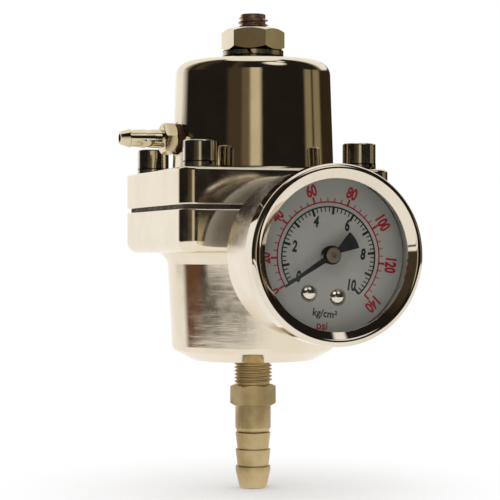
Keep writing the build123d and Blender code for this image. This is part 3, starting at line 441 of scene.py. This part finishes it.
def thread_tree():
    """Ridge that winds up a core, fading out at both ends."""
    tree, given, result = node_group("screw_thread", [
        ("Core Radius", "NodeSocketFloat"), ("Crest Height", "NodeSocketFloat"),
        ("Pitch", "NodeSocketFloat"), ("Turns", "NodeSocketFloat"), ("Start Level", "NodeSocketFloat"),
        ("Fade", "NodeSocketFloat"), ("Finish", "NodeSocketMaterial")])
    get = given.outputs
    calc = partial(sums, tree)
    steps_per_turn = 48.0
    foot_share, crest_share = 0.46, 0.07

    line = put(tree, "GeometryNodeCurvePrimitiveLine")
    line.inputs["End"].default_value = (1, 0, 0)
    points = put(tree, "GeometryNodeResampleCurve")
    wire(tree, line.outputs[0], points.inputs["Curve"])
    wire(tree, calc("MULTIPLY", get["Turns"], steps_per_turn), points.inputs["Count"])
    share = put(tree, "GeometryNodeSplineParameter").outputs["Factor"]
    turns_done = calc("MULTIPLY", share, get["Turns"])
    turn = calc("MULTIPLY", turns_done, 2 * pi)
    rise = calc("MULTIPLY", turns_done, get["Pitch"])
    spot = put(tree, "ShaderNodeCombineXYZ")
    wire(tree, calc("MULTIPLY", get["Core Radius"], calc("COSINE", turn)), spot.inputs[0])
    wire(tree, calc("MULTIPLY", get["Core Radius"], calc("SINE", turn)), spot.inputs[1])
    wire(tree, calc("ADD", rise, get["Start Level"]), spot.inputs[2])
    moved = put(tree, "GeometryNodeSetPosition")
    wire(tree, points.outputs[0], moved.inputs["Geometry"])
    wire(tree, spot.outputs[0], moved.inputs["Position"])
    upright = put(tree, "GeometryNodeSetCurveNormal", mode="Z_UP")
    wire(tree, moved.outputs[0], upright.inputs["Curve"])
    ends = calc("MINIMUM", share, calc("SUBTRACT", 1.0, share))
    size = calc("MAXIMUM", calc("MINIMUM", calc("DIVIDE", ends, get["Fade"]), 1.0), 0.02)
    swell = put(tree, "GeometryNodeSetCurveRadius")
    wire(tree, upright.outputs[0], swell.inputs["Curve"])
    wire(tree, size, swell.inputs["Radius"])

    form = put(tree, "GeometryNodeCurvePrimitiveQuadrilateral", mode="POINTS")
    wide = calc("MULTIPLY", get["Pitch"], foot_share)
    narrow = calc("MULTIPLY", get["Pitch"], crest_share)
    crest = get["Crest Height"]
    buried = calc("MULTIPLY", crest, -0.3)
    corners = ((buried, calc("MULTIPLY", wide, -1.0)), (crest, calc("MULTIPLY", narrow, -1.0)),
               (crest, narrow), (buried, wide))
    for label, (out, along) in zip(("Point 1", "Point 2", "Point 3", "Point 4"), corners):
        corner = put(tree, "ShaderNodeCombineXYZ")
        feed(tree, corner.inputs[0], out)
        feed(tree, corner.inputs[1], along)
        wire(tree, corner.outputs[0], form.inputs[label])
    swept = put(tree, "GeometryNodeCurveToMesh")
    wire(tree, swell.outputs[0], swept.inputs["Curve"])
    wire(tree, form.outputs[0], swept.inputs["Profile Curve"])
    wire(tree, size, swept.inputs["Scale"])
    swept.inputs["Fill Caps"].default_value = True
    real = put(tree, "GeometryNodeRealizeInstances")
    wire(tree, swept.outputs[0], real.inputs[0])
    coat = put(tree, "GeometryNodeSetMaterial")
    wire(tree, real.outputs[0], coat.inputs["Geometry"])
    wire(tree, get["Finish"], coat.inputs["Material"])
    wire(tree, coat.outputs[0], result.inputs[0])
    return tree


threads = thread_tree()
thread_band = 1.2 * MM
thread_fade = 0.02


def bare_copy(name, node):
    """Copy of a CAD node's mesh without its stored normals."""
    mesh = nodes[node].data.copy()
    mesh.name = name
    stored = mesh.attributes.get("custom_normal")
    if stored is not None:
        mesh.attributes.remove(stored)
    return mesh


def slimmed(name, node, reach, core, above):
    """Copy of a CAD node whose thread cylinder is taken down to the thread's core."""
    mesh = bare_copy(name, node)
    tool = bmesh.new()
    tool.from_mesh(mesh)
    bmesh.ops.remove_doubles(tool, verts=tool.verts, dist=weld_distance)
    for corner in tool.verts:
        radius = sqrt(corner.co.x**2 + corner.co.y**2)
        if reach < radius < reach + thread_band and corner.co.z > above:
            corner.co.x *= core / radius
            corner.co.y *= core / radius
    tool.to_mesh(mesh)
    tool.free()
    return mesh


def gathered(name, meshes):
    """One mesh of several."""
    tool = bmesh.new()
    for mesh in meshes:
        tool.from_mesh(mesh)
    whole = bpy.data.meshes.new(name)
    tool.to_mesh(whole)
    tool.free()
    return whole


def joined(name, first, second):
    """One smooth mesh of two, all in its first material."""
    mesh = gathered(name, (first, second))
    for face in mesh.polygons:
        face.material_index = 0
    return smooth(mesh)


def smooth(mesh, angle=28):
    """Shade a mesh smooth, but for its sharp edges; the large faces decide the normals."""
    for face in mesh.polygons:
        face.use_smooth = True
    mesh.set_sharp_from_angle(angle=radians(angle))
    holder = bpy.data.objects.new(mesh.name, mesh)
    bpy.context.scene.collection.objects.link(holder)
    modifier = holder.modifiers.new("normals", "WEIGHTED_NORMAL")
    modifier.keep_sharp = True
    graph = bpy.context.evaluated_depsgraph_get()
    leaning = bpy.data.meshes.new_from_object(holder.evaluated_get(graph), preserve_all_data_layers=True,
                                              depsgraph=graph)
    leaning.name = mesh.name
    bpy.data.objects.remove(holder)
    return leaning


def threaded(name, node, body, material, core, crest, pitch, low, top, reach, above):
    """Copy of a CAD node whose plain thread, from reach outwards, becomes a core with a wound ridge."""
    ridge = grown(threads, name + "_ridge", {
        "Core Radius": core, "Crest Height": crest, "Pitch": pitch, "Turns": (top - low) / pitch,
        "Start Level": low, "Fade": thread_fade, "Finish": material})
    mesh = joined(name, slimmed(name + "_core", node, reach, core, above), ridge)
    return add_piece(name, mesh, body, material)


# Adjusting screw with its real thread

stem_chamfer = 0.55 * MM
stem = threaded("threaded_adjusting_screw", "adjusting_screw", "adjusting_screw", stem_steel,
                core=3.3 * MM, crest=0.68 * MM, pitch=1.25 * MM, low=76.0 * MM,
                top=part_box("adjusting_screw")[1].z - stem_chamfer, reach=3.42 * MM, above=75.0 * MM)
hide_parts("adjusting_screw")

# Return barb with the thread that its port holds

barb = threaded("threaded_return_barb", "return_barb", "housing", barb_brass,
                core=4.42 * MM, crest=0.6 * MM, pitch=0.94 * MM, low=5.9 * MM,
                top=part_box("return_barb")[1].z, reach=5.0 * MM, above=5.5 * MM)
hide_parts("return_barb")


# Bezel ring with a rolled crest

bezel_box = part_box("gauge_bezel")
bezel_rim = bezel_box[1].x
bezel_rear = -bezel_box[1].y
bezel_front = -bezel_box[0].y
bezel_seat = 20.0 * MM
bezel_opening = (17.85 * MM, 59.9 * MM)
bevel_rise = 1.45 * MM
bevel_run = 1.9 * MM
lens_front = 59.3 * MM
inner_roll = 1.2 * MM
opening_edge = 0.12 * MM
rear_chamfer = 0.5 * MM


def arc(middle, radius, first, last, steps):
    """Points of an arc in a ring's section."""
    return [(middle[0] + radius * cos(first + (last - first) * k / steps),
             middle[1] + radius * sin(first + (last - first) * k / steps)) for k in range(steps + 1)]


def rolled_ring(name, steps):
    """Ring whose bevelled inside rolls over a round crest to the rim, as pressed sheet does."""
    tilt = pi / 2 + atan2(bevel_rise, bevel_run)
    opening, opening_level = bezel_opening
    crest_level = bezel_front - inner_roll
    rise = crest_level + inner_roll * sin(tilt) - opening_level
    crest = opening + rise / (bevel_rise / bevel_run) - inner_roll * cos(tilt)
    outer_roll = bezel_rim - crest
    section = [(bezel_seat, bezel_rear), (bezel_rim - rear_chamfer, bezel_rear),
               (bezel_rim, bezel_rear + rear_chamfer)]
    section += arc((crest, bezel_front - outer_roll), outer_roll, 0, pi / 2, 14)
    section += arc((crest, crest_level), inner_roll, pi / 2, tilt, 10)[1:]
    section += arc((opening + opening_edge, opening_level - 0.4 * opening_edge), opening_edge, tilt, pi, 4)
    section += [(opening, lens_front), (bezel_seat, lens_front)]
    tool = bmesh.new()
    rings = []
    for k in range(steps):
        turn = 2 * pi * k / steps
        rings.append([tool.verts.new((r * cos(turn), -level, gauge_level + r * sin(turn)))
                      for r, level in section])
    for k in range(steps):
        here, there = rings[k], rings[(k + 1) % steps]
        for j in range(len(section)):
            n = (j + 1) % len(section)
            tool.faces.new((here[j], there[j], there[n], here[n]))
    bmesh.ops.recalc_face_normals(tool, faces=tool.faces)
    mesh = bpy.data.meshes.new(name)
    tool.to_mesh(mesh)
    tool.free()
    return smooth(mesh, 22)


bezel = add_piece("rolled_gauge_bezel", rolled_ring("rolled_gauge_bezel", 240), "housing",
                  gauge_metal)
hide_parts("gauge_bezel")


# Dial screws with full domes

hair = 0.01 * MM


def wider_heads(name, node, dial_level, swell):
    """Copy of a CAD node of two screws whose heads, in front of the dial, are a little wider."""
    mesh = bare_copy(name, node)
    low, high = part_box(node)
    between = (low.x + high.x) / 2
    tool = bmesh.new()
    tool.from_mesh(mesh)
    bmesh.ops.remove_doubles(tool, verts=tool.verts, dist=weld_distance)
    in_front = [v for v in tool.verts if v.co.y < -dial_level + hair]
    heads = [[v for v in in_front if (v.co.x > between) == right] for right in (False, True)]
    for head in heads:
        middle_x = (min(v.co.x for v in head) + max(v.co.x for v in head)) / 2
        middle_z = (min(v.co.z for v in head) + max(v.co.z for v in head)) / 2
        for corner in head:
            corner.co.x = middle_x + (corner.co.x - middle_x) * swell
            corner.co.z = middle_z + (corner.co.z - middle_z) * swell
    tool.to_mesh(mesh)
    tool.free()
    return smooth(mesh, 40)


domes = add_piece("domed_dial_screws", wider_heads("domed_dial_screws", "dial_screws", dial_front, 1.2),
                  "housing", gauge_metal)
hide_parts("dial_screws")


# Springy parts as smooth copies, left in place

def elastic(name, node, material):
    """Smooth-shaded copy of a CAD node, left where the node stands and on no body; the node is hidden."""
    piece = dressed(name, smooth(bare_copy(name, node)), material)
    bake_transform(piece)
    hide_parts(node)


elastic("coil_spring", "regulator_spring",
        spring_wire)
elastic("bent_bourdon_tube", "bourdon_tube",
        movement_brass)


# Dial print

gauge_axis = Matrix.Translation((0, 0, gauge_level)) @ Matrix.Rotation(radians(90), 4, "X")
dial_place = gauge_axis @ Matrix.Rotation(radians(-8), 4, "Z")
print_height = 0.03 * MM
print_drop = 0.35 * MM
letter_depth = 0.02
psi_step = radians(7.53)
psi_end = radians(-36.8)
psi_steps = 34
psi_full = 140
psi_per_step = 4
psi_circle = 16.0 * MM
kg_step = radians(5.32)
kg_end = radians(-41.3)
kg_steps = 49
kg_full = 10
kg_steps_each = 5
kg_circle = 8.8 * MM
line_width = 0.34 * MM


def scale_tree():
    """Round scale: an arc's line with ticks, of which every so many, and the last, are long."""
    tree, given, result = node_group("round_scale", [
        ("Steps", "NodeSocketInt"), ("Long Every", "NodeSocketInt"), ("Arc Radius", "NodeSocketFloat"),
        ("Short Length", "NodeSocketFloat"), ("Long Length", "NodeSocketFloat"),
        ("Short Width", "NodeSocketFloat"), ("Long Width", "NodeSocketFloat"),
        ("Line Width", "NodeSocketFloat"), ("Height", "NodeSocketFloat"),
        ("End Angle", "NodeSocketFloat"), ("Step Angle", "NodeSocketFloat"),
        ("Finish", "NodeSocketMaterial")])
    get = given.outputs
    calc = partial(sums, tree)
    arc_points = 161

    points = put(tree, "GeometryNodeMeshLine", mode="OFFSET")
    wire(tree, calc("ADD", get["Steps"], 1.0), points.inputs["Count"])
    index = put(tree, "GeometryNodeInputIndex").outputs[0]
    is_last = calc("GREATER_THAN", index, calc("SUBTRACT", get["Steps"], 0.5))
    is_long = calc("MAXIMUM", calc("LESS_THAN", calc("MODULO", index, get["Long Every"]), 0.5), is_last)
    turn = calc("ADD", get["End Angle"], calc("MULTIPLY", get["Step Angle"], index))
    extra = calc("MULTIPLY", is_long, calc("SUBTRACT", get["Long Length"], get["Short Length"]))
    length = calc("ADD", get["Short Length"], extra)
    width = calc("ADD", get["Short Width"],
                 calc("MULTIPLY", is_long, calc("SUBTRACT", get["Long Width"], get["Short Width"])))
    middle = calc("ADD", get["Arc Radius"], calc("DIVIDE", length, 2.0))
    spot = put(tree, "ShaderNodeCombineXYZ")
    wire(tree, calc("MULTIPLY", middle, calc("COSINE", turn)), spot.inputs[0])
    wire(tree, calc("MULTIPLY", middle, calc("SINE", turn)), spot.inputs[1])
    moved = put(tree, "GeometryNodeSetPosition")
    wire(tree, points.outputs[0], moved.inputs["Geometry"])
    wire(tree, spot.outputs[0], moved.inputs["Position"])
    block = put(tree, "GeometryNodeMeshCube")
    block.inputs["Size"].default_value = (1, 1, 1)
    copies = put(tree, "GeometryNodeInstanceOnPoints")
    wire(tree, moved.outputs[0], copies.inputs["Points"])
    wire(tree, block.outputs[0], copies.inputs["Instance"])
    angles = put(tree, "ShaderNodeCombineXYZ")
    wire(tree, turn, angles.inputs[2])
    wire(tree, angles.outputs[0], copies.inputs["Rotation"])
    size = put(tree, "ShaderNodeCombineXYZ")
    wire(tree, calc("ABSOLUTE", length), size.inputs[0])
    wire(tree, width, size.inputs[1])
    wire(tree, get["Height"], size.inputs[2])
    wire(tree, size.outputs[0], copies.inputs["Scale"])

    arc = put(tree, "GeometryNodeCurveArc", mode="RADIUS")
    arc.inputs["Resolution"].default_value = arc_points
    wire(tree, get["Arc Radius"], arc.inputs["Radius"])
    wire(tree, get["End Angle"], arc.inputs["Start Angle"])
    wire(tree, calc("MULTIPLY", get["Step Angle"], get["Steps"]), arc.inputs["Sweep Angle"])
    bar = put(tree, "GeometryNodeCurvePrimitiveQuadrilateral", mode="RECTANGLE")
    wire(tree, get["Line Width"], bar.inputs["Width"])
    wire(tree, get["Height"], bar.inputs["Height"])
    line = put(tree, "GeometryNodeCurveToMesh")
    wire(tree, arc.outputs[0], line.inputs["Curve"])
    wire(tree, bar.outputs[0], line.inputs["Profile Curve"])
    line.inputs["Fill Caps"].default_value = True

    both = put(tree, "GeometryNodeJoinGeometry")
    wire(tree, copies.outputs[0], both.inputs[0])
    wire(tree, line.outputs[0], both.inputs[0])
    real = put(tree, "GeometryNodeRealizeInstances")
    wire(tree, both.outputs[0], real.inputs[0])
    coat = put(tree, "GeometryNodeSetMaterial")
    wire(tree, real.outputs[0], coat.inputs["Geometry"])
    wire(tree, get["Finish"], coat.inputs["Material"])
    wire(tree, coat.outputs[0], result.inputs[0])
    return tree


def on_dial(mesh, x=0.0, y=0.0, turn=0.0):
    """Move a print drawn flat at the origin to its place on the dial."""
    lift = dial_front + print_height / 2
    spot = Matrix.Translation((x, y - print_drop, lift))
    mesh.transform(dial_place @ spot @ Matrix.Rotation(turn, 4, "Z"))
    return mesh


def lettering(name, words, height, x, y, turn, wide=0.8, weight=0.0):
    """Flat lettering of a given capital height, centred at a place on the dial."""
    curve = bpy.data.curves.new(name, "FONT")
    curve.body = words
    curve.align_x = "CENTER"
    curve.size = 1.0
    curve.offset = weight
    curve.extrude = letter_depth
    curve.resolution_u = 4
    holder = bpy.data.objects.new(name, curve)
    bpy.context.scene.collection.objects.link(holder)
    graph = bpy.context.evaluated_depsgraph_get()
    mesh = bpy.data.meshes.new_from_object(holder.evaluated_get(graph), depsgraph=graph)
    bpy.data.objects.remove(holder)
    capital = 0.7
    scale = height / capital
    mesh.transform(Matrix.Diagonal((scale * wide, scale, print_height / 2 / letter_depth, 1))
                   @ Matrix.Translation((0, -capital / 2, 0)))
    return on_dial(mesh, x, y, turn)


scales = scale_tree()
red_scale = on_dial(grown(scales, "psi_scale", {
    "Steps": psi_steps, "Long Every": 5, "Arc Radius": 12.84 * MM, "Short Length": 1.05 * MM,
    "Long Length": 1.6 * MM, "Short Width": 0.24 * MM, "Long Width": 0.5 * MM, "Line Width": line_width,
    "Height": print_height, "End Angle": psi_end, "Step Angle": psi_step, "Finish": red_ink}))
black_scale = on_dial(grown(scales, "kg_scale", {
    "Steps": kg_steps, "Long Every": kg_steps_each, "Arc Radius": 11.72 * MM, "Short Length": -1.15 * MM,
    "Long Length": -1.75 * MM, "Short Width": 0.26 * MM, "Long Width": 0.58 * MM, "Line Width": line_width,
    "Height": print_height, "End Angle": kg_end, "Step Angle": kg_step, "Finish": black_ink}))

red_words = [red_scale]
for value in range(0, psi_full + 1, 20):
    angle = psi_end + psi_step * min((psi_full - value) / psi_per_step, psi_steps)
    red_words.append(lettering("psi_number", str(value), 2.6 * MM, psi_circle * cos(angle),
                               psi_circle * sin(angle), angle - pi / 2, 0.70, 0.042))
red_words.append(lettering("psi_word", "psi", 1.9 * MM, 0.6 * MM, -16.2 * MM, 0, 0.95, 0.02))
black_words = [black_scale]
for value in range(0, kg_full + 1, 2):
    angle = kg_end + kg_step * min((kg_full - value) * kg_steps_each, kg_steps)
    black_words.append(lettering("kg_number", str(value), 2.5 * MM, kg_circle * cos(angle),
                                 kg_circle * sin(angle), 0, 0.66, 0.042))
black_words.append(lettering("kg_word", "kg/cm\u00b2", 1.75 * MM, 0.9 * MM, -13.3 * MM, 0, 0.92, 0.022))
add_piece("red_dial_print", gathered("red_dial_print", red_words), "housing", red_ink)
add_piece("black_dial_print", gathered("black_dial_print", black_words), "housing", black_ink)


# Studio: pale floor, a key light for the matt surfaces, and a room that the metal mirrors

plain_white = (1.0, 1.0, 1.0, 1)
shadow_reach = (0.012, 0.08)
floor_mesh = bpy.data.meshes.new("floor")
floor_reach = 4.0
floor_level = cad_box[0].z - 0.2 * MM
floor_mesh.from_pydata([(x * floor_reach, y * floor_reach, floor_level)
                        for x, y in ((-1, -1), (1, -1), (1, 1), (-1, 1))], [], [(0, 1, 2, 3)])
floor = bpy.data.objects.new("floor", floor_mesh)
bpy.context.scene.collection.objects.link(floor)
floor_paper, floor_tree, floor_shader = finish("floor_paper")
floor_shader.inputs["Base Color"].default_value = (0.92, 0.92, 0.92, 1)
floor_shader.inputs["Roughness"].default_value = 0.9
floor_shader.inputs["Specular IOR Level"].default_value = 0.1
glow = put(floor_tree, "ShaderNodeEmission")
glow.inputs["Color"].default_value = plain_white
away = put(floor_tree, "ShaderNodeVectorMath", operation="LENGTH")
wire(floor_tree, place(floor_tree), away.inputs[0])
far = spread(floor_tree, away.outputs["Value"], *shadow_reach)
ray = put(floor_tree, "ShaderNodeLightPath")
mixed = put(floor_tree, "ShaderNodeMixShader")
wire(floor_tree, sums(floor_tree, "MULTIPLY", far, ray.outputs["Is Camera Ray"]), mixed.inputs[0])
wire(floor_tree, floor_shader.outputs[0], mixed.inputs[1])
wire(floor_tree, glow.outputs[0], mixed.inputs[2])
wire(floor_tree, mixed.outputs[0], floor_tree.nodes["Material Output"].inputs["Surface"])
floor_mesh.materials.append(floor_paper)
floor.visible_glossy = False

key_data = bpy.data.lights.new("key", "AREA")
key_data.size = 0.6
key_data.energy = 1.6
key = bpy.data.objects.new("key", key_data)
key.location = (-0.5, -0.7, 0.9)
key.rotation_euler = (Vector((0, 0, 0.04)) - key.location).to_track_quat("-Z", "Y").to_euler()
key.visible_glossy = False
bpy.context.scene.collection.objects.link(key)

world = bpy.data.worlds.new("room")
bpy.context.scene.world = world
world.use_nodes = True
room = world.node_tree
back = room.nodes["Background"]
direction = put(room, "ShaderNodeTexCoord").outputs["Generated"]


def along(vector):
    """Part of the direction that lies along a vector."""
    made = put(room, "ShaderNodeVectorMath", operation="DOT_PRODUCT")
    wire(room, direction, made.inputs[0])
    made.inputs[1].default_value = vector
    return made.outputs["Value"]


def ramp(value, stops):
    """Colour ramp; stops are (degrees, colour)."""
    made = put(room, "ShaderNodeValToRGB")
    wire(room, value, made.inputs[0])
    while len(made.color_ramp.elements) < len(stops):
        made.color_ramp.elements.new(0.5)
    for element, (degrees, colour) in zip(made.color_ramp.elements, stops):
        element.position = (degrees + 180) / 360
        element.color = (*colour, 1)
    return made.outputs[0]


def lamp(seen, turned_by, height, reach, colour):
    """Bright round patch in the room, at a turn from the camera and a height in degrees."""
    turned_by, height = radians(turned_by), radians(height)
    towards = (to_camera * cos(turned_by) + to_right * sin(turned_by)) * cos(height)
    towards += Vector((0, 0, sin(height)))
    share = spread(room, along(towards), cos(radians(reach)), cos(radians(0.4 * reach)))
    return blend_colour(room, share, seen, (*colour, 1))


white = (1.0, 0.98, 0.94)
black = (0.014, 0.011, 0.009)
tan = (0.27, 0.225, 0.135)
brown = (0.06, 0.043, 0.026)
pale = (0.60, 0.53, 0.38)
olive = (0.05, 0.041, 0.027)
rust = (0.13, 0.058, 0.026)
amber = (0.14, 0.105, 0.06)
dusk = (0.03, 0.02, 0.01)
round_angle = sums(room, "ARCTAN2", along(to_right), along(to_camera))
turned_share = sums(room, "ADD", sums(room, "DIVIDE", round_angle, 2 * pi), 0.5)
height_angle = sums(room, "ARCSINE", along((0, 0, 1)))
walls = ramp(turned_share, [
    (-180, white), (-130, white), (-111, black), (-40, black), (-34, brown), (-18, brown),
    (-14, amber), (-6, amber), (-2, pale), (9, pale), (14, black), (79, black), (84, tan), (93, tan),
    (97, dusk), (101, tan), (112, tan), (118, dusk), (180, dusk)])
high_walls = ramp(turned_share, [
    (-180, white), (-132, white), (-120, tan), (-108, black), (-90, brown), (-70, black), (-34, black),
    (-28, brown), (-12, black), (112, black), (122, tan), (130, white), (180, white)])
low_band = ramp(turned_share, [
    (-180, white), (-111, white), (-101, rust), (-79, rust), (-68, olive), (-10, olive), (28, white),
    (180, white)])


def past(start, full):
    """Share that grows between two heights, in degrees."""
    return spread(room, height_angle, radians(start), radians(full))


def height_between(start, end, at_start, at_end):
    """Height that changes evenly between two turns from the camera, all in degrees."""
    return spread(room, round_angle, radians(start), radians(end), radians(at_start), radians(at_end),
                  "LINEAR")


top_blur = radians(0.9)
foot_blur = radians(0.6)
band_top = sums(room, "ADD", height_between(-72, -62, -2.9, -5.3), height_between(-62, 5, 0, -2.6))
band_foot = height_between(-100, 0, -7.2, -8.8)
under_top = spread(room, height_angle, band_top, sums(room, "SUBTRACT", band_top, top_blur))
over_foot = spread(room, height_angle, sums(room, "SUBTRACT", band_foot, foot_blur), band_foot)
mirrored = blend_colour(room, past(12, 17), walls, high_walls)
mirrored = blend_colour(room, past(-3, -4), mirrored, (*white, 1))
mirrored = blend_colour(room, sums(room, "MULTIPLY", under_top, over_foot), mirrored, low_band)
mirrored = blend_colour(room, past(66, 71), mirrored, (*white, 1))
for turned_by, height, reach in ((68, 61, 6), (40, 46, 18)):
    mirrored = lamp(mirrored, turned_by, height, reach, white)
path = put(room, "ShaderNodeLightPath")
sharp = sums(room, "MAXIMUM", path.outputs["Is Glossy Ray"], path.outputs["Is Transmission Ray"])
lit = blend_colour(room, sharp, plain_white, mirrored)
wire(room, blend_colour(room, path.outputs["Is Camera Ray"], lit, plain_white), back.inputs["Color"])
back.inputs["Strength"].default_value = 1.0
